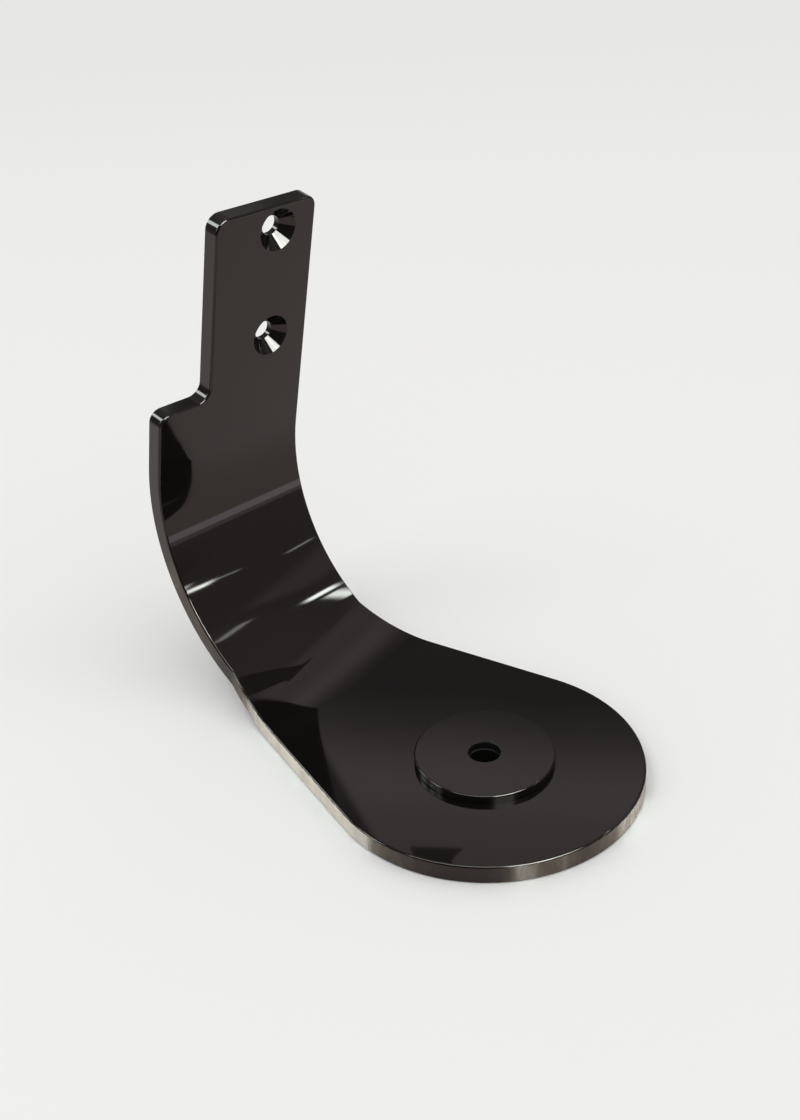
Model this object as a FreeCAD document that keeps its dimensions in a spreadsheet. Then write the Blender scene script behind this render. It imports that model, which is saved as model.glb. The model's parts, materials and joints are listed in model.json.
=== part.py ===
import FreeCAD, Part
import math
import os

import Sketcher

# Thread spool stand: one steel plate, bent once, with a round foot for the thread cone and a narrow
# drilled tab for two countersunk screws, and a raised seat disc fixed to the foot round the spindle hole.
# Millimetres. The origin is the middle of the spindle hole on the underside of the foot, +Z is up and
# +Y runs from the foot towards the upright. The upright leans back over the foot.

# Driving dimensions, one sheet cell each.
SIZES = (
    # The foot: a disc that narrows along straight flanks to the neck, where the strip begins.
    ("disc_diameter", 68.0),
    ("plate_thickness", 4.0),
    ("strip_width", 40.5),
    ("neck_past_bend_start", 20.7),
    ("neck_corner_radius", 3.0),
    # The bend, measured on its inner side.
    ("bend_start", 40.0),
    ("bend_inside_radius", 40.0),
    ("bend_angle", 103.0),
    # The upright, measured from the end of the bend.
    ("upright_length", 57.6),
    ("shoulder_height", 14.8),
    ("tab_width", 26.9),
    ("tab_left_round", 3.2),
    ("tab_right_round", 2.6),
    ("shoulder_round", 2.8),
    ("notch_round", 3.1),
    # The two countersunk screw holes, along the right edge of the tab.
    ("screw_edge_distance", 10.25),
    ("screw_top_distance", 5.8),
    ("screw_spacing", 25.6),
    ("screw_hole_diameter", 4.5),
    ("countersink_diameter", 9.7),
    ("countersink_angle", 90.0),
    # The raised seat disc and the spindle hole through it and the foot.
    ("seat_diameter", 30.0),
    ("seat_thickness", 1.8),
    ("spindle_hole_diameter", 7.0),
    # Broken edges. The plate's are rolled over on its upper and front side and only just broken behind.
    ("front_edge_round", 0.5),
    ("back_edge_chamfer", 0.2),
    ("seat_top_round", 0.4),
    ("seat_bottom_chamfer", 0.25),
    ("spindle_hole_chamfer", 0.2),
    # How far the trimming outlines run past the blank that they cut.
    ("trim_margin", 5.0),
)

SHEET_NAME = "Sizes"
START, END, CENTRE = 1, 2, 3
ORIGIN_POINT = (-1, START)
HORIZONTAL_AXIS = -1
VERTICAL_AXIS = -2
EDGE_TOLERANCE = 1e-4
EDGE_SAMPLES = (0.0, 0.3, 0.7, 1.0)
VOLUME_TOLERANCE = 1e-3


def make_sheet(doc):
    """Fill the sheet of driving dimensions, and return it."""
    sheet = doc.addObject("Spreadsheet::Sheet", SHEET_NAME)
    for row, (alias, value) in enumerate(SIZES, 1):
        sheet.set("A%d" % row, alias)
        sheet.set("B%d" % row, str(value))
        sheet.setAlias("B%d" % row, alias)
    doc.recompute()
    return sheet


def cell(alias):
    """The expression that reads one cell of the sheet."""
    return "%s.%s" % (SHEET_NAME, alias)


def line(start, end):
    """A straight sketch edge between two (across, up) places."""
    return Part.LineSegment(FreeCAD.Vector(start[0], start[1], 0), FreeCAD.Vector(end[0], end[1], 0))


def arc(centre, radius, first_angle, last_angle):
    """A sketch arc, drawn anticlockwise from first_angle to last_angle, in degrees."""
    circle = Part.Circle(FreeCAD.Vector(centre[0], centre[1], 0), FreeCAD.Vector(0, 0, 1), radius)
    return Part.ArcOfCircle(circle, math.radians(first_angle), math.radians(last_angle))


def attach_sketch(body, name, role):
    """A new sketch on one of the body's own origin planes."""
    sketch = body.newObject("Sketcher::SketchObject", name)
    plane = next(item for item in body.Origin.OriginFeatures if item.Role == role)
    sketch.AttachmentSupport = [(plane, "")]
    sketch.MapMode = "FlatFace"
    return sketch


def attach_to_upright(body, name):
    """A new sketch on the front face of the upright, its origin in the middle of the end of the bend."""
    sketch = attach_sketch(body, name, "XY_Plane")
    sketch.AttachmentOffset = FreeCAD.Placement(
        FreeCAD.Vector(0, 1, 1), FreeCAD.Rotation(FreeCAD.Vector(1, 0, 0), 90)
    )
    turn = "(%s * 1 deg)" % cell("bend_angle")
    radius = cell("bend_inside_radius")
    out = "%s + %s * sin%s" % (cell("bend_start"), radius, turn)
    up = "%s + %s * (1 - cos%s)" % (cell("plate_thickness"), radius, turn)
    sketch.setExpression("AttachmentOffset.Base.y", out)
    sketch.setExpression("AttachmentOffset.Base.z", up)
    sketch.setExpression("AttachmentOffset.Rotation.Angle", "%s * 1 deg" % cell("bend_angle"))
    return sketch


def size_constraint(sketch, name, expression, *parts):
    """Add a dimension to a sketch, and bind it to the sheet."""
    index = sketch.addConstraint(Sketcher.Constraint(*parts))
    sketch.renameConstraint(index, name)
    sketch.setExpression("Constraints.%s" % name, expression)


def constrain(sketch, *rules):
    """Add plain geometric rules to a sketch."""
    for rule in rules:
        sketch.addConstraint(Sketcher.Constraint(*rule))


def draw_side_profile(body, sizes):
    """The plate seen from its side: flat foot, round bend and straight upright, one thickness throughout."""
    sketch = attach_sketch(body, "side_profile", "YZ_Plane")
    front = -sizes["disc_diameter"] / 2
    thickness = sizes["plate_thickness"]
    turn = math.radians(sizes["bend_angle"])
    centre = (sizes["bend_start"], thickness + sizes["bend_inside_radius"])
    inner = sizes["bend_inside_radius"]
    outer = inner + thickness
    last_angle = sizes["bend_angle"] - 90

    def on_bend(radius):
        return (centre[0] + radius * math.sin(turn), centre[1] - radius * math.cos(turn))

    def above(place):
        length = sizes["upright_length"]
        return (place[0] + length * math.cos(turn), place[1] + length * math.sin(turn))

    foot_underside = sketch.addGeometry(line((front, 0), (centre[0], 0)))
    bend_outside = sketch.addGeometry(arc(centre, outer, -90, last_angle))
    upright_back = sketch.addGeometry(line(on_bend(outer), above(on_bend(outer))))
    upright_top = sketch.addGeometry(line(above(on_bend(outer)), above(on_bend(inner))))
    upright_front = sketch.addGeometry(line(above(on_bend(inner)), on_bend(inner)))
    bend_inside = sketch.addGeometry(arc(centre, inner, -90, last_angle))
    foot_top = sketch.addGeometry(line((centre[0], thickness), (front, thickness)))
    foot_front = sketch.addGeometry(line((front, thickness), (front, 0)))

    constrain(
        sketch,
        ("Tangent", foot_underside, END, bend_outside, START),
        ("Tangent", bend_outside, END, upright_back, START),
        ("Coincident", upright_back, END, upright_top, START),
        ("Coincident", upright_top, END, upright_front, START),
        ("Tangent", upright_front, END, bend_inside, END),
        ("Tangent", bend_inside, START, foot_top, START),
        ("Coincident", foot_top, END, foot_front, START),
        ("Coincident", foot_front, END, foot_underside, START),
        ("Coincident", bend_inside, CENTRE, bend_outside, CENTRE),
        ("Horizontal", foot_underside),
        ("Horizontal", foot_top),
        ("Vertical", foot_front),
        ("Perpendicular", upright_top, upright_back),
        ("Parallel", upright_front, upright_back),
        ("PointOnObject", foot_underside, START, HORIZONTAL_AXIS),
    )
    size_constraint(sketch, "thickness", cell("plate_thickness"), "Distance", foot_front, thickness)
    size_constraint(sketch, "front_reach", cell("disc_diameter") + " / 2",
                    "DistanceX", foot_underside, START, *ORIGIN_POINT, -front)
    size_constraint(sketch, "bend_start", cell("bend_start"),
                    "DistanceX", *ORIGIN_POINT, foot_underside, END, centre[0])
    size_constraint(sketch, "bend_radius", cell("bend_inside_radius"), "Radius", bend_inside, inner)
    size_constraint(sketch, "bend_angle", "%s * 1 deg" % cell("bend_angle"), "Angle", upright_back, turn)
    size_constraint(sketch, "upright", cell("upright_length"),
                    "Distance", upright_front, sizes["upright_length"])
    return sketch


def draw_foot_outline(body, sizes):
    """What is cut away round the foot, seen from above: all but the disc, its flanks and the strip."""
    sketch = attach_sketch(body, "foot_outline", "XY_Plane")
    disc = sizes["disc_diameter"] / 2
    half = sizes["strip_width"] / 2
    corner = sizes["neck_corner_radius"]
    side = disc + sizes["trim_margin"]
    rear = sizes["bend_start"] + sizes["bend_inside_radius"] + sizes["plate_thickness"] + sizes["trim_margin"]
    neck = sizes["bend_start"] + sizes["neck_past_bend_start"]
    to_corner = math.hypot(half + corner, neck)
    flare = math.atan2(neck, half + corner) - math.acos((disc + corner) / to_corner)
    flare_degrees = math.degrees(flare)
    leave = (disc * math.cos(flare), disc * math.sin(flare))
    meet = (half + corner - corner * math.cos(flare), neck - corner * math.sin(flare))

    left_rear = sketch.addGeometry(line((-side, rear), (-half, rear)))
    left_neck = sketch.addGeometry(line((-half, rear), (-half, neck)))
    left_corner = sketch.addGeometry(arc((-half - corner, neck), corner, -flare_degrees, 0))
    left_flank = sketch.addGeometry(line((-leave[0], leave[1]), (-meet[0], meet[1])))
    disc_arc = sketch.addGeometry(arc((0, 0), disc, 180 - flare_degrees, 360 + flare_degrees))
    right_flank = sketch.addGeometry(line(leave, meet))
    right_corner = sketch.addGeometry(arc((half + corner, neck), corner, 180, 180 + flare_degrees))
    right_neck = sketch.addGeometry(line((half, neck), (half, rear)))
    right_rear = sketch.addGeometry(line((half, rear), (side, rear)))
    right_side = sketch.addGeometry(line((side, rear), (side, -side)))
    front_side = sketch.addGeometry(line((side, -side), (-side, -side)))
    left_side = sketch.addGeometry(line((-side, -side), (-side, rear)))

    constrain(
        sketch,
        ("Coincident", left_rear, END, left_neck, START),
        ("Tangent", left_neck, END, left_corner, END),
        ("Tangent", left_corner, START, left_flank, END),
        ("Tangent", left_flank, START, disc_arc, START),
        ("Tangent", disc_arc, END, right_flank, START),
        ("Tangent", right_flank, END, right_corner, END),
        ("Tangent", right_corner, START, right_neck, START),
        ("Coincident", right_neck, END, right_rear, START),
        ("Coincident", right_rear, END, right_side, START),
        ("Coincident", right_side, END, front_side, START),
        ("Coincident", front_side, END, left_side, START),
        ("Coincident", left_side, END, left_rear, START),
        ("Coincident", disc_arc, CENTRE, *ORIGIN_POINT),
        ("Vertical", left_neck),
        ("Vertical", right_neck),
        ("Horizontal", left_rear),
        ("Horizontal", right_rear),
        ("Vertical", right_side),
        ("Vertical", left_side),
        ("Equal", left_corner, right_corner),
        ("Equal", left_flank, right_flank),
        ("Symmetric", left_neck, START, right_neck, END, VERTICAL_AXIS),
        ("Symmetric", front_side, START, front_side, END, VERTICAL_AXIS),
    )
    reach = cell("disc_diameter") + " / 2 + " + cell("trim_margin")
    rear_reach = " + ".join(
        cell(alias) for alias in ("bend_start", "bend_inside_radius", "plate_thickness", "trim_margin")
    )
    size_constraint(sketch, "disc_radius", cell("disc_diameter") + " / 2", "Radius", disc_arc, disc)
    size_constraint(sketch, "strip_width", cell("strip_width"),
                    "DistanceX", left_neck, START, right_neck, END, 2 * half)
    size_constraint(sketch, "neck", cell("bend_start") + " + " + cell("neck_past_bend_start"),
                    "DistanceY", *ORIGIN_POINT, left_neck, END, neck)
    size_constraint(sketch, "corner_radius", cell("neck_corner_radius"), "Radius", left_corner, corner)
    size_constraint(sketch, "side_reach", reach, "DistanceX", *ORIGIN_POINT, front_side, START, side)
    size_constraint(sketch, "front_reach", reach, "DistanceY", front_side, START, *ORIGIN_POINT, side)
    size_constraint(sketch, "rear_reach", rear_reach, "DistanceY", *ORIGIN_POINT, left_rear, START, rear)
    return sketch


def draw_head_outline(body, sizes):
    """What is cut away round the upright, in its own plane: all but the shoulder and the tab above it."""
    sketch = attach_to_upright(body, "head_outline")
    half = sizes["strip_width"] / 2
    side = sizes["disc_diameter"] / 2 + sizes["trim_margin"]
    top = sizes["upright_length"]
    over = top + sizes["trim_margin"]
    shoulder = sizes["shoulder_height"]
    tab = half - sizes["tab_width"]
    shoulder_r = sizes["shoulder_round"]
    notch_r = sizes["notch_round"]
    left_r = sizes["tab_left_round"]
    right_r = sizes["tab_right_round"]

    left_foot = sketch.addGeometry(line((-side, 0), (-half, 0)))
    left_edge = sketch.addGeometry(line((-half, 0), (-half, shoulder - shoulder_r)))
    shoulder_arc = sketch.addGeometry(arc((-half + shoulder_r, shoulder - shoulder_r), shoulder_r, 90, 180))
    ledge = sketch.addGeometry(line((-half + shoulder_r, shoulder), (tab - notch_r, shoulder)))
    notch_arc = sketch.addGeometry(arc((tab - notch_r, shoulder + notch_r), notch_r, 270, 360))
    tab_edge = sketch.addGeometry(line((tab, shoulder + notch_r), (tab, top - left_r)))
    left_arc = sketch.addGeometry(arc((tab + left_r, top - left_r), left_r, 90, 180))
    top_edge = sketch.addGeometry(line((tab + left_r, top), (half - right_r, top)))
    right_arc = sketch.addGeometry(arc((half - right_r, top - right_r), right_r, 0, 90))
    right_edge = sketch.addGeometry(line((half, top - right_r), (half, 0)))
    right_foot = sketch.addGeometry(line((half, 0), (side, 0)))
    right_side = sketch.addGeometry(line((side, 0), (side, over)))
    over_side = sketch.addGeometry(line((side, over), (-side, over)))
    left_side = sketch.addGeometry(line((-side, over), (-side, 0)))

    constrain(
        sketch,
        ("Coincident", left_foot, END, left_edge, START),
        ("Tangent", left_edge, END, shoulder_arc, END),
        ("Tangent", shoulder_arc, START, ledge, START),
        ("Tangent", ledge, END, notch_arc, START),
        ("Tangent", notch_arc, END, tab_edge, START),
        ("Tangent", tab_edge, END, left_arc, END),
        ("Tangent", left_arc, START, top_edge, START),
        ("Tangent", top_edge, END, right_arc, END),
        ("Tangent", right_arc, START, right_edge, START),
        ("Coincident", right_edge, END, right_foot, START),
        ("Coincident", right_foot, END, right_side, START),
        ("Coincident", right_side, END, over_side, START),
        ("Coincident", over_side, END, left_side, START),
        ("Coincident", left_side, END, left_foot, START),
        ("Horizontal", left_foot),
        ("Vertical", left_edge),
        ("Horizontal", ledge),
        ("Vertical", tab_edge),
        ("Horizontal", top_edge),
        ("Vertical", right_edge),
        ("Horizontal", right_foot),
        ("Vertical", right_side),
        ("Vertical", left_side),
        ("PointOnObject", left_foot, END, HORIZONTAL_AXIS),
        ("Symmetric", left_foot, END, right_foot, START, VERTICAL_AXIS),
        ("Symmetric", over_side, START, over_side, END, VERTICAL_AXIS),
    )
    size_constraint(sketch, "strip_width", cell("strip_width"),
                    "DistanceX", left_foot, END, right_foot, START, 2 * half)
    size_constraint(sketch, "shoulder_height", cell("shoulder_height"),
                    "DistanceY", left_foot, END, ledge, START, shoulder)
    size_constraint(sketch, "upright_length", cell("upright_length"),
                    "DistanceY", right_foot, START, top_edge, END, top)
    size_constraint(sketch, "tab_width", cell("tab_width"),
                    "DistanceX", tab_edge, START, right_foot, START, sizes["tab_width"])
    size_constraint(sketch, "shoulder_round", cell("shoulder_round"), "Radius", shoulder_arc, shoulder_r)
    size_constraint(sketch, "notch_round", cell("notch_round"), "Radius", notch_arc, notch_r)
    size_constraint(sketch, "tab_left_round", cell("tab_left_round"), "Radius", left_arc, left_r)
    size_constraint(sketch, "tab_right_round", cell("tab_right_round"), "Radius", right_arc, right_r)
    size_constraint(sketch, "side_reach", cell("disc_diameter") + " / 2 + " + cell("trim_margin"),
                    "DistanceX", *ORIGIN_POINT, right_foot, END, side)
    size_constraint(sketch, "over_reach", cell("upright_length") + " + " + cell("trim_margin"),
                    "DistanceY", right_side, START, right_side, END, over)
    return sketch


def draw_screw_holes(body, sizes):
    """The two screw holes, one above the other beside the right edge of the tab."""
    sketch = attach_to_upright(body, "screw_holes_sketch")
    radius = sizes["screw_hole_diameter"] / 2
    across = sizes["strip_width"] / 2 - sizes["screw_edge_distance"]
    upper = sizes["upright_length"] - sizes["screw_top_distance"]
    lower = upper - sizes["screw_spacing"]
    holes = []
    for height in (upper, lower):
        centre = FreeCAD.Vector(across, height, 0)
        holes.append(sketch.addGeometry(Part.Circle(centre, FreeCAD.Vector(0, 0, 1), radius)))
    upper_hole, lower_hole = holes
    constrain(sketch, ("Equal", upper_hole, lower_hole), ("Vertical", upper_hole, CENTRE, lower_hole, CENTRE))
    size_constraint(sketch, "diameter", cell("screw_hole_diameter"), "Diameter", upper_hole, 2 * radius)
    size_constraint(sketch, "from_edge", "%s / 2 - %s" % (cell("strip_width"), cell("screw_edge_distance")),
                    "DistanceX", *ORIGIN_POINT, upper_hole, CENTRE, across)
    size_constraint(sketch, "from_top", "%s - %s" % (cell("upright_length"), cell("screw_top_distance")),
                    "DistanceY", *ORIGIN_POINT, upper_hole, CENTRE, upper)
    size_constraint(sketch, "spacing", cell("screw_spacing"),
                    "DistanceY", lower_hole, CENTRE, upper_hole, CENTRE, sizes["screw_spacing"])
    return sketch


def draw_circle_pair(body, name, diameters, level):
    """Circles round the spindle axis, one for each named diameter, at a level given as an expression."""
    sketch = attach_sketch(body, name, "XY_Plane")
    sketch.setExpression("AttachmentOffset.Base.z", level)
    for alias, diameter in diameters:
        circle = Part.Circle(FreeCAD.Vector(0, 0, 0), FreeCAD.Vector(0, 0, 1), diameter / 2)
        index = sketch.addGeometry(circle)
        constrain(sketch, ("Coincident", index, CENTRE, *ORIGIN_POINT))
        size_constraint(sketch, alias, cell(alias), "Diameter", index, diameter)
    return sketch


def add_pocket(body, name, sketch, reverse):
    """Cut a sketch's area right through the body, and make sure that it took material away."""
    before = body.Tip.Shape.Volume
    pocket = body.newObject("PartDesign::Pocket", name)
    pocket.Profile = sketch
    pocket.Type = "ThroughAll"
    pocket.Reversed = reverse
    body.Document.recompute()
    if pocket.Shape.Volume > before - VOLUME_TOLERANCE:
        raise RuntimeError("%s cuts nothing" % name)
    return pocket


def add_hole(body, name, sketch, diameter_alias):
    """Drill a plain hole right through the body at each circle of a sketch."""
    body.Document.recompute()
    hole = body.newObject("PartDesign::Hole", name)
    hole.Profile = sketch
    body.Document.recompute()
    hole.ThreadType = "None"
    hole.DepthType = "ThroughAll"
    hole.setExpression("Diameter", cell(diameter_alias))
    return hole


def round_edges(body, name, radius_alias, edge_names):
    """Round over some edges of the body as it stands."""
    base = body.Tip
    rounding = body.newObject("PartDesign::Fillet", name)
    rounding.Base = (base, edge_names)
    rounding.setExpression("Radius", cell(radius_alias))
    body.Document.recompute()
    return rounding


def break_edges(body, name, size_alias, edge_names):
    """Break some edges of the body as it stands with a narrow 45 degree chamfer."""
    base = body.Tip
    chamfer = body.newObject("PartDesign::Chamfer", name)
    chamfer.Base = (base, edge_names)
    chamfer.setExpression("Size", cell(size_alias))
    body.Document.recompute()
    return chamfer


def faces_of(shape, edge):
    """The two faces that meet at an edge."""
    return [face for face in shape.Faces if any(edge.isSame(other) for other in face.Edges)]


def is_sharp(shape, edge):
    """True where the faces on either side of an edge meet at an angle."""
    faces = faces_of(shape, edge)
    if len(faces) != 2:
        return False
    middle = edge.valueAt((edge.FirstParameter + edge.LastParameter) / 2)
    normals = [face.normalAt(*face.Surface.parameter(middle)) for face in faces]
    return normals[0].cross(normals[1]).Length > 0.1


def sheet_depth(place, sizes):
    """How deep a place lies in the plate: 0 on its upper or front side, the thickness on the other."""
    turn = math.radians(sizes["bend_angle"])
    centre_z = sizes["plate_thickness"] + sizes["bend_inside_radius"]
    out = place.y - sizes["bend_start"]
    down = centre_z - place.z
    along_upright = out * math.cos(turn) - down * math.sin(turn)
    if out <= 0 and down > 0:
        return sizes["plate_thickness"] - place.z
    if along_upright >= 0:
        return out * math.sin(turn) + down * math.cos(turn) - sizes["bend_inside_radius"]
    return math.hypot(out, down) - sizes["bend_inside_radius"]


def outline_edges(shape, sizes, level):
    """Names of the sharp edges that run round the plate's outline at one depth in the plate."""
    names = []
    for index, edge in enumerate(shape.Edges, 1):
        span = edge.LastParameter - edge.FirstParameter
        places = [edge.valueAt(edge.FirstParameter + share * span) for share in EDGE_SAMPLES]
        on_level = all(abs(sheet_depth(place, sizes) - level) < EDGE_TOLERANCE for place in places)
        if on_level and is_sharp(shape, edge):
            names.append("Edge%d" % index)
    return names


def make_bent_plate(doc, sizes):
    """The plate: a bent strip trimmed to its outlines, drilled, and with its outline rounded over."""
    body = doc.addObject("PartDesign::Body", "bent_plate")
    body.Label = "bent_plate"
    blank = body.newObject("PartDesign::Pad", "bent_blank")
    blank.Profile = draw_side_profile(body, sizes)
    blank.SideType = "Symmetric"
    blank.setExpression("Length", cell("disc_diameter"))
    doc.recompute()
    add_pocket(body, "foot_trim", draw_foot_outline(body, sizes), reverse=True)
    add_pocket(body, "head_trim", draw_head_outline(body, sizes), reverse=False)

    front_edges = outline_edges(body.Tip.Shape, sizes, 0)
    round_edges(body, "front_rounding", "front_edge_round", front_edges)
    back_edges = outline_edges(body.Tip.Shape, sizes, sizes["plate_thickness"])
    break_edges(body, "back_chamfer", "back_edge_chamfer", back_edges)

    spindle_circle = draw_circle_pair(
        body, "spindle_hole_sketch",
        [("spindle_hole_diameter", sizes["spindle_hole_diameter"])], cell("plate_thickness"),
    )
    add_hole(body, "spindle_hole", spindle_circle, "spindle_hole_diameter")

    screw_holes = add_hole(body, "screw_holes", draw_screw_holes(body, sizes), "screw_hole_diameter")
    screw_holes.HoleCutType = "Countersink"
    screw_holes.HoleCutCustomValues = True
    screw_holes.setExpression("HoleCutDiameter", cell("countersink_diameter"))
    screw_holes.setExpression("HoleCutCountersinkAngle", "%s * 1 deg" % cell("countersink_angle"))
    doc.recompute()
    body.Tip = screw_holes
    return body


def rim_edges(shape, radius, level):
    """Names of the full circles of one radius at one level."""
    names = []
    for index, edge in enumerate(shape.Edges, 1):
        curve = edge.Curve
        if not isinstance(curve, Part.Circle):
            continue
        if abs(curve.Radius - radius) < EDGE_TOLERANCE and abs(curve.Center.z - level) < EDGE_TOLERANCE:
            names.append("Edge%d" % index)
    return names


def make_seat_disc(doc, sizes):
    """The raised disc that the thread cone stands on, laid flat on the foot round the spindle hole."""
    body = doc.addObject("PartDesign::Body", "seat_disc")
    body.Label = "seat_disc"
    rings = draw_circle_pair(
        body, "seat_rings",
        [(alias, sizes[alias]) for alias in ("seat_diameter", "spindle_hole_diameter")],
        cell("plate_thickness"),
    )
    disc = body.newObject("PartDesign::Pad", "seat_blank")
    disc.Profile = rings
    disc.setExpression("Length", cell("seat_thickness"))
    doc.recompute()

    bottom = sizes["plate_thickness"]
    top = bottom + sizes["seat_thickness"]
    rim = sizes["seat_diameter"] / 2
    mouth = sizes["spindle_hole_diameter"] / 2
    round_edges(body, "seat_top_rounding", "seat_top_round", rim_edges(body.Tip.Shape, rim, top))
    break_edges(body, "seat_bottom_chamfer", "seat_bottom_chamfer", rim_edges(body.Tip.Shape, rim, bottom))
    break_edges(body, "spindle_hole_mouth", "spindle_hole_chamfer", rim_edges(body.Tip.Shape, mouth, top))
    return body


def check_document(doc, parts):
    """Stop if a feature failed, or if a sub-part isn't one sound solid."""
    for item in doc.Objects:
        if "Invalid" in item.State or "Error" in item.State:
            raise RuntimeError("%s failed: %s" % (item.Name, item.State))
    for item in parts:
        shape = item.Shape
        if shape.isNull() or not shape.isValid() or len(shape.Solids) != 1:
            raise RuntimeError("%s isn't one valid solid" % item.Label)


def export_parts(parts):
    """Write each sub-part to the file that its label names."""
    os.makedirs("parts", exist_ok=True)
    for item in parts:
        item.Shape.exportStep("parts/%s.step" % item.Label)
        box = item.Shape.optimalBoundingBox()
        extent = (box.XMin, box.XMax, box.YMin, box.YMax, box.ZMin, box.ZMax)
        print(item.Label, "volume %.1f" % item.Shape.Volume, "box", ["%.2f" % value for value in extent])


def main():
    doc = FreeCAD.newDocument("thread_spool_stand")
    sheet = make_sheet(doc)
    sizes = {alias: float(sheet.get(alias)) for alias, value in SIZES}
    parts = [make_bent_plate(doc, sizes), make_seat_disc(doc, sizes)]
    doc.recompute()
    check_document(doc, parts)
    export_parts(parts)


main()
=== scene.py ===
import json
import math
from collections import namedtuple

import bmesh
import bpy
from mathutils import Matrix, Vector

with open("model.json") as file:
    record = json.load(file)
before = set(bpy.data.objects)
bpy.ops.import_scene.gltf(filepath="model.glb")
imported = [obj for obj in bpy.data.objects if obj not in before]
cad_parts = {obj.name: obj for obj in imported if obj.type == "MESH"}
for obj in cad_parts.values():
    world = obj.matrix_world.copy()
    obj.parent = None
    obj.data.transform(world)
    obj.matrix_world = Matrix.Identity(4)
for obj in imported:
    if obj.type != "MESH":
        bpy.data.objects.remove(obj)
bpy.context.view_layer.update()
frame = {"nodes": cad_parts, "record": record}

MM = 0.001
UP = Vector((0.0, 0.0, 1.0))
WHITE = (1.0, 1.0, 1.0, 1.0)

# Where the photograph was taken from, in degrees and millimetres.
CAMERA_AZIMUTH = -43.166
CAMERA_ELEVATION = 29.546
CAMERA_ROLL = -2.585
CAMERA_DISTANCE = 256.24
CAMERA_TARGET = (-22.035, 0.0, 61.909)
CAMERA_LENS = 45.02
SENSOR_SIZE = 36.0

# The nearest and the furthest that it sees, in metres.
CLIP_START = 0.01
CLIP_END = 50.0

# What the studio is built round.
STUDIO_CENTRE = Vector((0.0, 45.0, 40.0)) * MM


def link(obj):
    bpy.context.scene.collection.objects.link(obj)
    return obj


def compass(azimuth, elevation):
    """The unit vector at an azimuth, 0 along -Y and 90 along +X, and an elevation, in degrees."""
    a, e = math.radians(azimuth), math.radians(elevation)
    return Vector((math.sin(a) * math.cos(e), -math.cos(a) * math.cos(e), math.sin(e)))


def outward_and_side(azimuth):
    """The level unit vectors that look out along an azimuth, and to its side."""
    return compass(azimuth, 0), compass(azimuth + 90, 0)


def make_camera():
    """The photograph's camera."""
    back = compass(CAMERA_AZIMUTH, CAMERA_ELEVATION)
    side = (-back).cross(UP).normalized()
    up = side.cross(-back)
    roll = math.radians(CAMERA_ROLL)
    right = side * math.cos(roll) + up * math.sin(roll)
    top = up * math.cos(roll) - side * math.sin(roll)
    place = (Vector(CAMERA_TARGET) + back * CAMERA_DISTANCE) * MM

    data = bpy.data.cameras.new("camera")
    data.sensor_width = SENSOR_SIZE
    data.lens = CAMERA_LENS
    data.clip_start = CLIP_START
    data.clip_end = CLIP_END
    camera = link(bpy.data.objects.new("camera", data))
    turn = Matrix((right, top, back)).transposed().to_4x4()
    camera.matrix_world = Matrix.Translation(place) @ turn
    bpy.context.scene.camera = camera


# The mix node's two inputs and its output, for each kind of value.
MIX_SOCKETS = {"VECTOR": (4, 5, 1), "RGBA": (6, 7, 2)}


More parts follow.
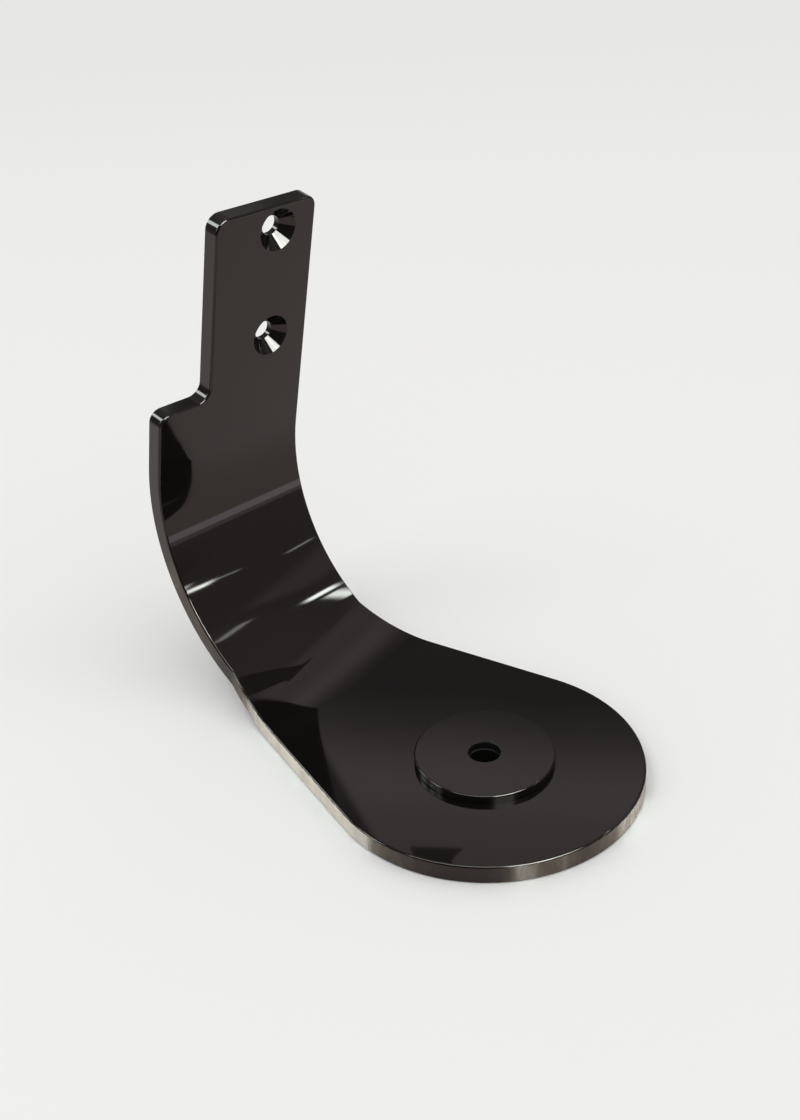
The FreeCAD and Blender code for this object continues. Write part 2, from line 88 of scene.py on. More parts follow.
class Graph:
    """A thin helper for writing shader node trees. Any value may be a number or a node's socket."""

    def __init__(self, tree):
        self.tree = tree
        tree.nodes.clear()

    def add(self, kind, inputs=None, **settings):
        """A node of a kind, with its settings, and its inputs by name or by number."""
        node = self.tree.nodes.new(kind)
        for key, value in settings.items():
            setattr(node, key, value)
        for key, value in (inputs or {}).items():
            if isinstance(value, bpy.types.NodeSocket):
                self.tree.links.new(value, node.inputs[key])
            else:
                node.inputs[key].default_value = value
        return node

    def maths(self, operation, first, second=0.0, third=0.0):
        inputs = {0: first, 1: second, 2: third}
        return self.add("ShaderNodeMath", inputs, operation=operation).outputs[0]

    def times(self, first, second):
        return self.maths("MULTIPLY", first, second)

    def minus(self, first, second):
        return self.maths("SUBTRACT", first, second)

    def times_plus(self, first, second, third):
        return self.maths("MULTIPLY_ADD", first, second, third)

    def above(self, value, level):
        return self.maths("GREATER_THAN", value, level)

    def below(self, value, level):
        return self.maths("LESS_THAN", value, level)

    def clamp(self, value, low, high):
        return self.maths("MINIMUM", self.maths("MAXIMUM", value, low), high)

    def smooth(self, value, low, high, to_low=0.0, to_high=1.0):
        """A soft step from to_low to to_high, as a value goes from low to high."""
        inputs = {
            "Value": value, "From Min": low, "From Max": high, "To Min": to_low, "To Max": to_high,
        }
        return self.add("ShaderNodeMapRange", inputs, interpolation_type="SMOOTHSTEP").outputs[0]

    def ramp(self, value, stops):
        """A grey ramp through stops of place and level."""
        node = self.add("ShaderNodeValToRGB", {"Fac": value})
        while len(node.color_ramp.elements) < len(stops):
            node.color_ramp.elements.new(0.5)
        for element, (place, level) in zip(node.color_ramp.elements, stops):
            element.position = place
            element.color = (level, level, level, 1)
        return node.outputs[0]

    def noise(self, place, scale, detail, roughness=0.5):
        inputs = {"Vector": place, "Scale": scale, "Detail": detail, "Roughness": roughness}
        return self.add("ShaderNodeTexNoise", inputs).outputs["Fac"]

    def vector(self, operation, first, second=(0.0, 0.0, 0.0)):
        inputs = {0: first, 1: second}
        return self.add("ShaderNodeVectorMath", inputs, operation=operation).outputs["Vector"]

    def unit(self, vector):
        return self.vector("NORMALIZE", vector)

    def dot(self, first, second):
        inputs = {0: first, 1: second}
        return self.add("ShaderNodeVectorMath", inputs, operation="DOT_PRODUCT").outputs["Value"]

    def length(self, vector):
        return self.add("ShaderNodeVectorMath", {0: vector}, operation="LENGTH").outputs["Value"]

    def scaled(self, vector, factor):
        inputs = {0: vector, "Scale": factor}
        return self.add("ShaderNodeVectorMath", inputs, operation="SCALE").outputs["Vector"]

    def split(self, vector):
        return self.add("ShaderNodeSeparateXYZ", {0: vector}).outputs

    def join(self, x, y, z):
        return self.add("ShaderNodeCombineXYZ", {"X": x, "Y": y, "Z": z}).outputs[0]

    def mix(self, share, first, second, kind="RGBA"):
        """The first colour or vector where share is 0, and the second where it is 1."""
        first_in, second_in, mixed = MIX_SOCKETS[kind]
        inputs = {0: share, first_in: first, second_in: second}
        return self.add("ShaderNodeMix", inputs, data_type=kind).outputs[mixed]

    def pick(self, share, first, second):
        """The first vector where share is 0, and the second where it is 1."""
        return self.mix(share, first, second, kind="VECTOR")

    def object_place(self):
        return self.add("ShaderNodeTexCoord").outputs["Object"]

    def surface(self, shader):
        """Ends a material's tree with its shader."""
        self.add("ShaderNodeOutputMaterial", {"Surface": shader.outputs[0]})


def new_material(name):
    material = bpy.data.materials.new(name)
    material.use_nodes = True
    return material, Graph(material.node_tree)


def flat_mesh(name, corners):
    """A flat face through corners in metres."""
    mesh = bpy.data.meshes.new(name)
    mesh.from_pydata(corners, [], [tuple(range(len(corners)))])
    mesh.update()
    return link(bpy.data.objects.new(name, mesh))


def square(half, level):
    """The corners of a level square round the origin."""
    signs = ((-1, -1), (1, -1), (1, 1), (-1, 1))
    return [Vector((across * half, along * half, level)) for across, along in signs]


# The room's own light, and how bright it is where the camera or the gloss looks straight at it.
ROOM_COLOUR = (1.0, 0.998, 0.99, 1)
ROOM_LIGHT = 0.78
ROOM_SEEN = 0.86

# The floor, in metres. It lies just under the foot, and its haze hides where it ends.
FLOOR_REACH = 40.0
FLOOR_LEVEL = -0.00005
FLOOR_COLOUR = (0.9, 0.898, 0.89, 1)
FLOOR_ROUGHNESS = 0.9
HAZE_START = 0.6
HAZE_END = 2.2


def make_floor():
    """A plain pale floor. Far off, beyond the lamps, it melts into the pale of the room."""
    floor = flat_mesh("floor", square(FLOOR_REACH, FLOOR_LEVEL))
    material, graph = new_material("floor_paint")
    paint = graph.add("ShaderNodeBsdfPrincipled", {
        "Base Color": FLOOR_COLOUR,
        "Roughness": FLOOR_ROUGHNESS,
        "Specular IOR Level": 0.0,
    })
    haze = graph.add("ShaderNodeEmission", {"Color": ROOM_COLOUR, "Strength": ROOM_SEEN})
    distance = graph.length(graph.object_place())
    seen = graph.add("ShaderNodeLightPath").outputs["Is Camera Ray"]
    share = graph.times(graph.smooth(distance, HAZE_START, HAZE_END), seen)
    shaders = {0: share, 1: paint.outputs[0], 2: haze.outputs[0]}
    graph.surface(graph.add("ShaderNodeMixShader", shaders))
    floor.data.materials.append(material)


def make_world():
    """An even pale room, a little brighter where the camera or the gloss looks at it."""
    world = bpy.data.worlds.new("studio")
    bpy.context.scene.world = world
    world.use_nodes = True
    graph = Graph(world.node_tree)
    path = graph.add("ShaderNodeLightPath")
    seen = graph.maths("MAXIMUM", path.outputs["Is Camera Ray"], path.outputs["Is Glossy Ray"])
    seen = graph.maths("MAXIMUM", seen, path.outputs["Is Transmission Ray"])
    strength = graph.times_plus(seen, ROOM_SEEN - ROOM_LIGHT, ROOM_LIGHT)
    sky = graph.add("ShaderNodeBackground", {"Color": ROOM_COLOUR, "Strength": strength})
    graph.add("ShaderNodeOutputWorld", {"Surface": sky.outputs[0]})


def make_lamp(name, azimuth, elevation, distance, size, power):
    """A soft square lamp aimed at the object, in degrees, metres and watts."""
    data = bpy.data.lights.new(name, "AREA")
    data.shape = "SQUARE"
    data.size = size
    data.energy = power
    lamp = link(bpy.data.objects.new(name, data))
    out = compass(azimuth, elevation)
    lamp.location = STUDIO_CENTRE + out * distance
    lamp.rotation_euler = out.to_track_quat("Z", "Y").to_euler()
    lamp.visible_glossy = False


def only_in_gloss(obj):
    """A screen or card beside the object that only its gloss sees."""
    obj.visible_camera = False
    obj.visible_diffuse = False
    obj.visible_shadow = False
    obj.visible_transmission = False
    obj.visible_volume_scatter = False


def glowing_card(name, corners, strength, colour=WHITE):
    """A gloss-only flat card of one even glow. Its corners are in millimetres."""
    card = flat_mesh(name, [corner * MM for corner in corners])
    material, graph = new_material(name + "_glow")
    graph.surface(graph.add("ShaderNodeEmission", {"Color": colour, "Strength": strength}))
    card.data.materials.append(material)
    only_in_gloss(card)


# The tent round the studio, which only the gloss sees. Each patch of it is a soft rectangle, as the
# azimuth and elevation of its middle, its half width, half height, softness and tilt, in degrees.
# The level of a shade multiplies what is behind it, and that of a glow or window adds to it.
Patch = namedtuple("Patch", "azimuth elevation wide high soft tilt level")
TENT_RADIUS = 0.42
TENT_SEGMENTS = 96
TENT_LEVEL = 0.36
TENT_SHADES = {
    "camera_side": Patch(-55, 22, 78, 42, 12, 0, 0.3),
    "low_right": Patch(92, 12, 30, 18, 10, 0, 0.4),
}
TENT_GLOWS = {
    "overhead": Patch(0, 90, 36, 36, 3, 0, 0.06),
    "right_wall": Patch(105, 46.5, 32, 6.5, 2, 0, 0.34),
    "rear_wall": Patch(122, 55, 7, 3.5, 1.5, 0, 0.3),
    "right_pillar": Patch(48.5, 33, 3.5, 9, 2, 0, 0.3),
    "ceiling": Patch(0, 88, 14, 14, 8, 0, 2.2),
}
TENT_WINDOWS = {
    "front_window": Patch(-14, 35.5, 12, 6, 1.2, 0, 30.0),
    "front_window_right": Patch(9, 42, 12, 4.5, 1.2, 0, 30.0),
    "left_window": Patch(-120, 30, 3.5, 12, 1.2, 0, 14.0),
    "left_rear_window": Patch(-137, 40, 4, 7, 1.2, 0, 15.0),
    "rear_window": Patch(-160, 33, 7, 7, 1.2, 0, 10.0),
    "edge_window": Patch(0, 51.5, 16, 6, 1.2, 0, 26.0),
    "front_rail": Patch(-42, 65, 34, 3.0, 1.2, 0, 22.0),
    "upper_stroke": Patch(31.2, 21.8, 1.2, 0.75, 0.6, 8, 34.0),
    "upper_stroke_tail": Patch(33.6, 21.7, 1.4, 0.3, 0.4, 8, 4.0),
    "upper_stroke_hook": Patch(29.5, 19.8, 0.3, 1.6, 0.35, 10, 16.0),
    "upper_right_tick": Patch(40.95, 22.65, 1.2, 0.3, 0.4, -47, 5.0),
    "lower_left_tick": Patch(49.0, 49.1, 0.6, 2.0, 0.6, 0, 5.0),
    "lower_right_stroke": Patch(60.35, 46.2, 1.3, 0.85, 0.6, -63, 34.0),
    "lower_right_streak": Patch(68.05, 48.05, 2.9, 0.6, 0.5, 15, 26.0),
}

# The tent's walls are neutral and its windows are cool, with a blend between these levels.
WALL_COLOUR = (0.94, 0.99, 1.0, 1)
WINDOW_COLOUR = (0.78, 1.0, 1.0, 1)
WALL_LEVEL = 0.8
WINDOW_LEVEL = 3.0

# How near to square on, as a cosine, a part of the tent has to be to take a patch at all.
PATCH_HORIZON = 0.1


def patch_mask(graph, way, patch):
    """1 inside a patch of the tent and 0 outside, by the way that the tent is looked at."""
    out = compass(patch.azimuth, patch.elevation)
    side = compass(patch.azimuth + 90, 0)
    up = side.cross(out)
    if up.z < 0:
        up = -up
    tilt = math.radians(patch.tilt)
    across = side * math.cos(tilt) + up * math.sin(tilt)
    along = up * math.cos(tilt) - side * math.sin(tilt)
    near = graph.dot(way, out)
    mask = graph.smooth(near, -PATCH_HORIZON, PATCH_HORIZON)
    for axis, half in ((across, patch.wide), (along, patch.high)):
        angle = graph.maths("ABSOLUTE", graph.maths("ARCTAN2", graph.dot(way, axis), near))
        inner = math.radians(max(half - patch.soft, 0.0))
        outer = math.radians(half + patch.soft)
        mask = graph.times(mask, graph.smooth(angle, inner, outer, 1.0, 0.0))
    return mask


def make_tent():
    """The room that the gloss sees: dark towards the camera, paler overhead, with a few windows."""
    mesh = bpy.data.meshes.new("tent")
    ball = bmesh.new()
    bmesh.ops.create_uvsphere(
        ball, u_segments=TENT_SEGMENTS, v_segments=TENT_SEGMENTS // 2, radius=TENT_RADIUS,
    )
    ball.to_mesh(mesh)
    ball.free()
    tent = link(bpy.data.objects.new("tent", mesh))
    tent.location = STUDIO_CENTRE

    material, graph = new_material("tent_glow")
    way = graph.unit(graph.object_place())
    level = TENT_LEVEL
    for patch in TENT_SHADES.values():
        mask = patch_mask(graph, way, patch)
        level = graph.times(level, graph.times_plus(mask, patch.level - 1.0, 1.0))
    for patch in (*TENT_GLOWS.values(), *TENT_WINDOWS.values()):
        level = graph.times_plus(patch_mask(graph, way, patch), patch.level, level)
    in_window = graph.smooth(level, WALL_LEVEL, WINDOW_LEVEL)
    colour = graph.mix(in_window, WALL_COLOUR, WINDOW_COLOUR)
    graph.surface(graph.add("ShaderNodeEmission", {"Color": colour, "Strength": level}))
    mesh.materials.append(material)
    only_in_gloss(tent)


# The board behind the right of the foot, in millimetres, and its glow by height.
BOARD_AZIMUTH = 132.0
BOARD_AWAY = 130.0
BOARD_HALF_WIDTH = 75.0
BOARD_TOP = 198.0
BOARD_GLOW = (
    (0, 0.13), (80, 0.14), (94, 0.3), (101, 0.46), (107, 0.6), (114, 0.7), (122, 0.74),
    (132, 0.66), (150, 0.62), (172, 0.7), (188, 0.6), (BOARD_TOP, 0.44),
)

# The bands of its glow rise to one side, and wander up and down by some millimetres.
BAND_RISE = 0.06
BAND_WANDER = 8.0
BAND_WANDER_SCALE = 25.0

# A dark thing cuts off its right side along a leaning line, but for a corner at the top.
DARK_SIDE_LEAN = 0.4
DARK_SIDE_START = 94.0
DARK_SIDE_END = 98.0
DARK_SIDE_LEVEL = 0.25
CORNER_ACROSS = (44.0, 48.0)
CORNER_HIGH = (160.0, 170.0)
CORNER_LEVEL = 0.25


def make_board():
    """A board behind the right of the foot, dark low down and pale above, that the foot mirrors."""
    out, side = outward_and_side(BOARD_AZIMUTH)
    left = (out * BOARD_AWAY - side * BOARD_HALF_WIDTH) * MM
    right = (out * BOARD_AWAY + side * BOARD_HALF_WIDTH) * MM
    lift = UP * BOARD_TOP * MM
    board = flat_mesh("board", [left, right, right + lift, left + lift])

    material, graph = new_material("board_glow")
    place = graph.object_place()
    high = graph.split(place)["Z"]
    across = graph.dot(place, side)
    wander = graph.minus(graph.noise(place, scale=BAND_WANDER_SCALE, detail=1.0), 0.5)
    height = graph.times_plus(wander, BAND_WANDER * MM, high)
    height = graph.times_plus(across, BAND_RISE, height)
    stops = [(level / BOARD_TOP, glow) for level, glow in BOARD_GLOW]
    glow = graph.ramp(graph.maths("DIVIDE", height, BOARD_TOP * MM), stops)

    leaning = graph.times_plus(high, DARK_SIDE_LEAN, across)
    lit = graph.smooth(leaning, DARK_SIDE_START * MM, DARK_SIDE_END * MM, 1.0, DARK_SIDE_LEVEL)
    in_corner = graph.times(graph.smooth(across, *(edge * MM for edge in CORNER_ACROSS)),
                            graph.smooth(high, *(edge * MM for edge in CORNER_HIGH)))
    lit = graph.times_plus(in_corner, CORNER_LEVEL, lit)
    graph.surface(graph.add("ShaderNodeEmission", {"Color": glow, "Strength": lit}))
    board.data.materials.append(material)
    only_in_gloss(board)


# A dark thing just in front of the board, as distances to the side and heights in millimetres.
DARK_FLAG_AWAY = 98.0
DARK_FLAG_LEVEL = 0.14
DARK_FLAG = (
    (8.5, 115), (25.5, 114.5), (23.5, 121), (24.5, 141), (24, 200), (-19, 200), (-7, 172),
    (1.4, 151), (9, 132), (12.5, 120),
)


def make_dark_flag():
    """The dark shape that the left of the foot mirrors."""
    out, side = outward_and_side(BOARD_AZIMUTH)
    corners = [out * DARK_FLAG_AWAY + side * across + UP * height for across, height in DARK_FLAG]
    glowing_card("dark_flag", corners, DARK_FLAG_LEVEL)


# A black card between the foot and the floor, a painted shade for the spindle hole's walls to mirror:
# its half width and its level, in millimetres.
DARK_PATCH_HALF = 5.0
DARK_PATCH_LEVEL = -0.02


def make_dark_patch():
    """Painted shade under the spindle hole: a black card that only the gloss sees, which the hole's
    walls mirror.
    """
    glowing_card("dark_patch", square(DARK_PATCH_HALF, DARK_PATCH_LEVEL), 0.0)


# How high the floor's own cards lie, in millimetres.
CARD_LEVEL = 1.0


def card_on_floor(name, azimuth, start, near, far, half_width, strength, colour=WHITE):
    """A gloss-only strip on the floor that runs outward from a place, along an azimuth, in mm."""
    out, side = outward_and_side(azimuth)
    foot = Vector((*start, CARD_LEVEL))
    corners = [foot + out * near - side * half_width, foot + out * near + side * half_width,
               foot + out * far + side * half_width, foot + out * far - side * half_width]
    glowing_card(name, corners, strength, colour)


def make_studio():
    make_floor()
    make_world()
    make_lamp("key_lamp", azimuth=-100, elevation=58, distance=1.6, size=0.8, power=4.5)
    make_lamp("fill_lamp", azimuth=60, elevation=55, distance=1.6, size=0.9, power=1.8)
    make_tent()
    make_board()
    make_dark_flag()
    make_dark_patch()
    card_on_floor("lit_table_edge", azimuth=5, start=(125, 86), near=174.5, far=261.5, half_width=90,
                  strength=2.1, colour=(0.9, 1.0, 1.12, 1.0))
    # A painted shadow: a dark card on the floor towards the camera. Only the gloss sees it, and it
    # sees it in place of the pale floor.
    card_on_floor("floor_shadow_card", azimuth=-45, start=(0, 0), near=115, far=410, half_width=260,
                  strength=0.1)


# The paint's gloss is warm, and the same all over.
PAINT_IOR = 1.45
PAINT_TINT = (1.0, 0.79, 0.74, 1)
PLATE_BLACK = (0.0045, 0.004, 0.0038, 1)
SEAT_BLACK = (0.005, 0.0045, 0.0043, 1)

# How deep the paint's pull, its peel and the waves in the bend go, in metres.
PULL_HEIGHT = 0.000008
PEEL_HEIGHT = 0.0000006
WAVE_HEIGHT = 0.00001

# How much rougher than the paint the walls of the spindle hole are, and its lips on top of that.
HOLE_ROUGHNESS = 0.15
LIP_ROUGHNESS = 0.75


def paint_normal(graph, place, true, waves=0.0):
    """The slight pull and peel of the paint over the true normal in the object's frame."""
    turned = graph.add("ShaderNodeVectorTransform", {0: true}, vector_type="NORMAL",
                       convert_from="OBJECT", convert_to="WORLD").outputs[0]
    peel = graph.noise(place, scale=380.0, detail=2.0, roughness=0.45)
    pull = graph.noise(place, scale=45.0, detail=1.0, roughness=0.4)
    height = graph.times_plus(pull, PULL_HEIGHT, waves)
    height = graph.times_plus(peel, PEEL_HEIGHT, height)
    inputs = {"Height": height, "Strength": 1.0, "Distance": 1.0, "Normal": graph.unit(turned)}
    return graph.add("ShaderNodeBump", inputs).outputs[0]


def rolled_edge(graph, depth, radius, face, side):
    """The normal over a rolled edge, from the face, at no depth, to the side, a radius below it, and
    how much it leans to the face."""
    climb = graph.clamp(graph.maths("DIVIDE", depth, radius), 0.0, 1.0)
    lean = graph.minus(1.0, climb)
    rise = graph.maths("SQRT", graph.minus(1.0, graph.times(lean, lean)))
    return graph.vector("ADD", graph.scaled(face, lean), graph.scaled(side, rise)), lean


def dull_in_hole(graph, gloss, reach, high, mouth, lip):
    """The roughness with the spindle hole's walls duller, inside its mouth, and its lip dullest."""
    dull = graph.times_plus(graph.above(high, lip), LIP_ROUGHNESS, HOLE_ROUGHNESS)
    return graph.times_plus(graph.below(reach, mouth), dull, gloss)


def paint_shader(graph, colour, metallic, roughness, normal):
    graph.surface(graph.add("ShaderNodeBsdfPrincipled", {
        "Base Color": colour,
        "Metallic": metallic,
        "Roughness": roughness,
        "IOR": PAINT_IOR,
        "Specular Tint": PAINT_TINT,
        "Normal": normal,
    }))


# The plate that the finish follows, in metres and degrees: its bend, its edges and its foot.
PLATE_THICKNESS = 0.004
BEND_START = 0.040
BEND_RADIUS = 0.040
BEND_CENTRE_HEIGHT = PLATE_THICKNESS + BEND_RADIUS
BEND_ANGLE = 103.0
FRONT_EDGE_ROUND = 0.0005
BACK_CHAMFER = 0.0002
BACK_SKIN = 0.00003
BACK_EDGE_START = PLATE_THICKNESS - BACK_CHAMFER
BACK_FACE_START = PLATE_THICKNESS - BACK_SKIN
FOOT_ROUND_RADIUS = 0.0333
FOOT_ROUND_END = 0.008

# Its screw holes and its spindle hole.
MOUNTS = {mount["name"]: mount for mount in frame["record"]["mounts"]}
SCREW_HOLES = (MOUNTS["upper_screw_hole"], MOUNTS["lower_screw_hole"])
SCREW_HOLE_START = 0.00002
COUNTERSINK_RADIUS = 0.00486
COUNTERSINK_DEPTH = 0.0026
SPINDLE_CLEARANCE = 0.010
PLATE_HOLE_LIP = 0.0037

# The paint ends on the cut edge, between these cosines of a place's own normal and the face's, at a
# line that is ragged by this much.
PAINT_ENDS = 0.75
EDGE_STARTS = 0.35
RAGGED = 0.7
FLAT_FACE = 0.999

# The waves that the press left: how far round the bend they rise and fall, in radians, how they slant
# across the strip, and how long they are across it, against along it.
WAVES_RISE = (0.05, 0.35)
WAVES_FALL = (0.85, 1.2)
WAVE_SLANT = -0.3
WAVE_STRETCH = 0.35

# How far the finish is worn off the cut edge, by the azimuth round the foot, in degrees. This share is
# partly real wear and partly painted light: it follows how much light each side of the cut edge
# catches, so the bare steel also stands in for the sheen there.
WEAR_AND_SHEEN_ROUND_FOOT = (
    (-180, 0.85), (-104, 0.82), (-92, 0.62), (-85, 0.42), (-78, 0.29), (-68, 0.18), (-46, 0.17),
    (-40, 0.3), (-36, 0.48), (-30, 0.4), (-22, 0.33), (0, 0.37), (15, 0.66), (24, 0.6), (38, 0.2),
    (60, 0.15), (110, 0.5), (180, 0.85),
)

# Up the strip the wear and its painted sheen thin to a share over one turn of the bend, and end over
# another, in radians.
WEAR_THINS = (0.0, 0.6)
WEAR_THIN_SHARE = 0.27
WEAR_ENDS = (1.2, 1.7)

# How the wear, which also carries the painted sheen, turns to bare metal: its gain, the streaks in it,
# which run down the cut edge, and where it starts and is full.
WEAR_GAIN = 1.15
STREAK_GAIN = 0.55
STREAK_OFFSET = -0.375
STREAK_SQUEEZE = 0.25
WEAR_START = 0.05
WEAR_FULL = 0.95
BROWN_STEEL = (0.4, 0.32, 0.24, 1)
DULL_STEEL = (0.6, 0.58, 0.5, 1)
BRIGHT_STEEL = (0.95, 0.96, 0.9, 1)
STEEL_START = 0.1
STEEL_FULL = 0.8

# The roughness of the paint from clean to smudged, between these levels of the smudges, and what the
# cut edge and bare metal add to it.
SMUDGES = (0.35, 0.75)
CLEAN_PAINT = 0.03
SMUDGED_PAINT = 0.065
EDGE_ROUGHNESS = 0.07
METAL_ROUGHNESS = 0.26


def follow_bend(graph, place):
    """How far round the bend a place is, the way that the front face looks, and the depth below it."""
    _, y, z = graph.split(place)
    out = graph.minus(y, BEND_START)
    down = graph.minus(BEND_CENTRE_HEIGHT, z)
    turn = graph.clamp(graph.maths("ARCTAN2", out, down), 0.0, math.radians(BEND_ANGLE))
    sine, cosine = graph.maths("SINE", turn), graph.maths("COSINE", turn)
    face = graph.join(0.0, graph.times(sine, -1.0), cosine)
    depth = graph.times_plus(down, cosine, graph.times_plus(out, sine, -BEND_RADIUS))
    return turn, face, depth


def cut_edge_way(graph, place, normal, face):
    """The way that the cut edge looks: straight out round the foot, and from the mesh elsewhere."""
    x, y, _ = graph.split(place)
    side = graph.vector("SUBTRACT", normal, graph.scaled(face, graph.dot(normal, face)))
    radial = graph.join(x, y, 0.0)
    on_round = graph.times(graph.above(graph.length(radial), FOOT_ROUND_RADIUS),
                           graph.below(y, FOOT_ROUND_END))
    return graph.pick(on_round, graph.unit(side), graph.unit(radial))


def plate_normal(graph, place, normal, face, depth):
    """The true normal of the plate's faces, edges and screw holes, free of the mesh's facets."""
    side = cut_edge_way(graph, place, normal, face)
    true, _ = rolled_edge(graph, depth, FRONT_EDGE_ROUND, face, side)
    true = graph.pick(graph.above(depth, BACK_EDGE_START), true, normal)
    true = graph.pick(graph.above(depth, BACK_FACE_START), true, graph.scaled(face, -1.0))

    in_plate = graph.times(graph.above(depth, SCREW_HOLE_START), graph.below(depth, BACK_EDGE_START))
    for hole in SCREW_HOLES:
        off = graph.vector("SUBTRACT", place, hole["pos_m"])
        off = graph.vector("SUBTRACT", off, graph.vector("PROJECT", off, hole["axis"]))
        inward = graph.scaled(graph.unit(off), -1.0)
        cone = graph.unit(graph.vector("ADD", inward, face))
        wall = graph.pick(graph.above(depth, COUNTERSINK_DEPTH), cone, inward)
        in_hole = graph.times(in_plate, graph.below(graph.length(off), COUNTERSINK_RADIUS))
        true = graph.pick(in_hole, true, wall)
    return graph.unit(true)


def cut_edge_share(graph, place, true, face):
    """1 on the cut edge and 0 on the faces, with a ragged line between them."""
    level = graph.maths("ABSOLUTE", graph.dot(true, face))
    chips = graph.noise(place, scale=900.0, detail=3.0, roughness=0.6)
    ragged = graph.times_plus(graph.minus(chips, 0.5), RAGGED, level)
    edge = graph.smooth(ragged, EDGE_STARTS, PAINT_ENDS, 1.0, 0.0)
    return graph.times(edge, graph.below(level, FLAT_FACE))


def press_waves(graph, x, turn):
    """Long soft waves that the press left in the bend."""
    along = graph.times_plus(x, WAVE_SLANT, graph.times(turn, BEND_RADIUS))
    sheet = graph.join(graph.times(x, WAVE_STRETCH), along, 0.0)
    wave = graph.noise(sheet, scale=90.0, detail=1.5, roughness=0.45)
    in_bend = graph.times(graph.smooth(turn, *WAVES_RISE), graph.smooth(turn, *WAVES_FALL, 1.0, 0.0))
    return graph.times(graph.times(wave, in_bend), WAVE_HEIGHT)


def wear_and_sheen_share(graph, x, y, turn, streaks):
    """How bare the cut edge is: most along the foot's flanks, fading up the strip. This is partly real
    wear and partly a painted sheen, since the share round the foot follows how much light each side of
    the edge catches.
    """
    way = graph.maths("ARCTAN2", x, graph.times(y, -1.0))
    azimuth = graph.times_plus(way, 0.5 / math.pi, 0.5)
    stops = [(0.5 + degrees / 360.0, level) for degrees, level in WEAR_AND_SHEEN_ROUND_FOOT]
    up_strip = graph.times(graph.smooth(turn, *WEAR_THINS, 1.0, WEAR_THIN_SHARE),
                           graph.smooth(turn, *WEAR_ENDS, 1.0, 0.0))
    share = graph.times(graph.ramp(azimuth, stops), up_strip)
    patchy = graph.times_plus(streaks, STREAK_GAIN, STREAK_OFFSET)
    return graph.smooth(graph.times_plus(share, WEAR_GAIN, patchy), WEAR_START, WEAR_FULL)


def plate_finish(name):
    """Smooth gloss black over steel, thin and worn through to the metal on the foot's cut edges. That
    bare steel is partly real wear and partly a painted sheen that follows how the edge catches the
    light.
    """
    material, graph = new_material(name)
    coords = graph.add("ShaderNodeTexCoord")
    place, normal = coords.outputs["Object"], coords.outputs["Normal"]
    x, y, z = graph.split(place)
    reach = graph.length(graph.join(x, y, 0.0))
    turn, face, depth = follow_bend(graph, place)
    true = plate_normal(graph, place, normal, face, depth)
    edge = cut_edge_share(graph, place, true, face)

    upright = graph.join(x, y, graph.times(z, STREAK_SQUEEZE))
    streaks = graph.noise(upright, scale=230.0, detail=5.0, roughness=0.6)
    clear = graph.times(graph.above(reach, SPINDLE_CLEARANCE), edge)
    # Bare steel on the cut edge: partly real wear, partly a painted sheen set by how much light each
    # side of the edge catches.
    wear_and_sheen = graph.times(wear_and_sheen_share(graph, x, y, turn, streaks), clear)
    bare = graph.mix(streaks, DULL_STEEL, BRIGHT_STEEL)
    steel = graph.mix(graph.smooth(wear_and_sheen, STEEL_START, STEEL_FULL), BROWN_STEEL, bare)
    colour = graph.mix(wear_and_sheen, PLATE_BLACK, steel)

    smudge = graph.noise(place, scale=35.0, detail=4.0, roughness=0.6)
    gloss = graph.smooth(smudge, *SMUDGES, CLEAN_PAINT, SMUDGED_PAINT)
    gloss = graph.times_plus(edge, EDGE_ROUGHNESS, gloss)
    gloss = dull_in_hole(graph, gloss, reach, z, SPINDLE_CLEARANCE, PLATE_HOLE_LIP)
    rough = graph.times_plus(wear_and_sheen, METAL_ROUGHNESS, gloss)
    bumpy = paint_normal(graph, place, true, press_waves(graph, x, turn))
    paint_shader(graph, colour, wear_and_sheen, rough, bumpy)
    return material


# The seat disc, in metres: its top, its rolled edge and its hole.
SEAT_TOP = 0.0058
SEAT_EDGE_ROUND = 0.0004
SEAT_HOLE_RIM = 0.0045
SEAT_HOLE_MOUTH = 0.0038
SEAT_HOLE_LIP = 0.00555

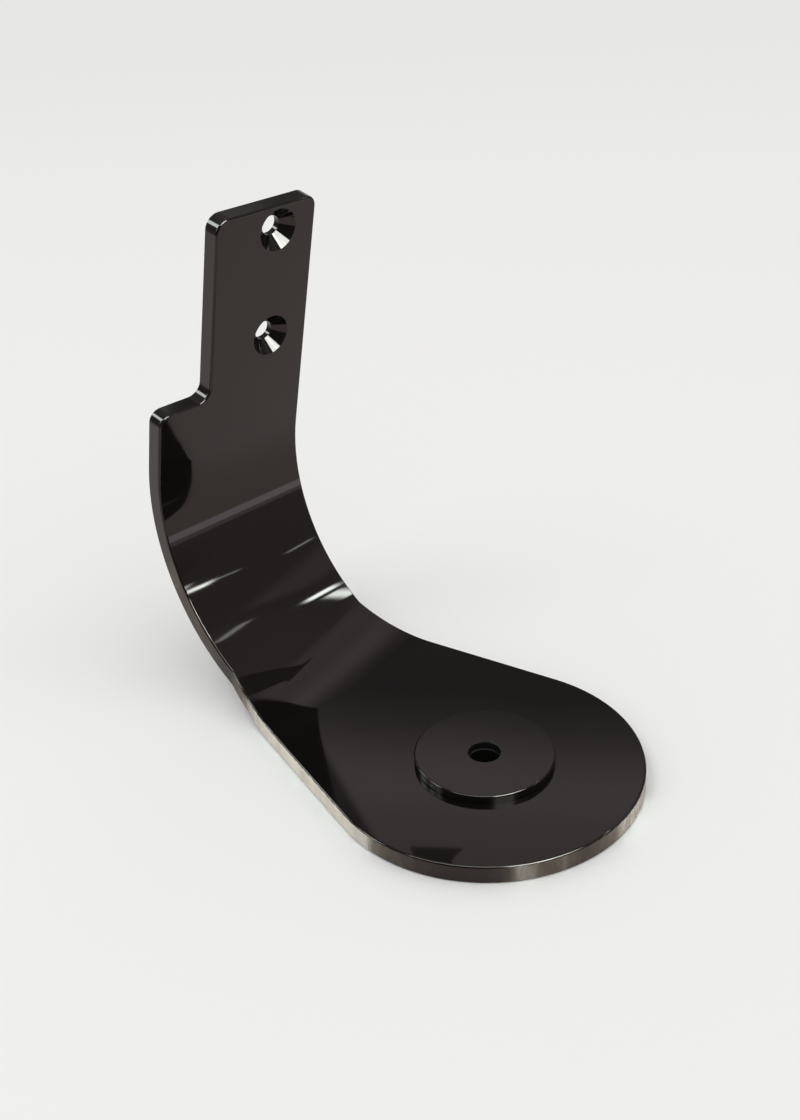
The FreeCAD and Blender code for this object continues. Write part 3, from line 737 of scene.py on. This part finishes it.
# The roughness of its top from clean to scuffed, between these levels of the scuffs, how fine their
# rings are, and what its side adds, below this lean of the rolled edge.
SCUFFS = (0.4, 0.8)
CLEAN_SEAT = 0.035
SCUFFED_SEAT = 0.08
RINGS_PER_METRE = 900.0
SEAT_SIDE_ROUGHNESS = 0.14
SEAT_SIDE_LEAN = 0.3


def seat_finish(name):
    """The same gloss black on the seat disc, with the fine scuffs of the spools that stood on it."""
    material, graph = new_material(name)
    coords = graph.add("ShaderNodeTexCoord")
    place, normal = coords.outputs["Object"], coords.outputs["Normal"]
    x, y, z = graph.split(place)
    radial = graph.join(x, y, 0.0)
    reach = graph.length(radial)

    # The true normal of the top, its rolled edge and the side. The hole keeps the mesh's own.
    top, side = graph.join(0.0, 0.0, 1.0), graph.unit(radial)
    true, lean = rolled_edge(graph, graph.minus(SEAT_TOP, z), SEAT_EDGE_ROUND, top, side)
    true = graph.pick(graph.below(reach, SEAT_HOLE_RIM), true, normal)

    rings = graph.join(graph.times(reach, RINGS_PER_METRE), 0.0, 0.0)
    scuff = graph.noise(rings, scale=1.0, detail=3.0, roughness=0.6)
    gloss = graph.smooth(scuff, *SCUFFS, CLEAN_SEAT, SCUFFED_SEAT)
    gloss = dull_in_hole(graph, gloss, reach, z, SEAT_HOLE_MOUTH, SEAT_HOLE_LIP)
    on_side = graph.smooth(lean, 0.0, SEAT_SIDE_LEAN, 1.0, 0.0)
    gloss = graph.times_plus(on_side, SEAT_SIDE_ROUGHNESS, gloss)
    paint_shader(graph, SEAT_BLACK, 0.0, gloss, paint_normal(graph, place, true))
    return material


def smooth_shade(obj):
    """Smooth shading that keeps the flats flat."""
    for face in obj.data.polygons:
        face.use_smooth = True
    modifier = obj.modifiers.new("flat_first_normals", "WEIGHTED_NORMAL")
    modifier.mode = "FACE_AREA"
    modifier.weight = 100
    modifier.keep_sharp = True


make_camera()
make_studio()
FINISHES = {"bent_plate": plate_finish("plate_gloss"), "seat_disc": seat_finish("seat_gloss")}
for node, finish in FINISHES.items():
    piece = frame["nodes"][node]
    piece.data.materials.clear()
    piece.data.materials.append(finish)
    smooth_shade(piece)

bpy.context.scene.view_settings.view_transform = "Standard"
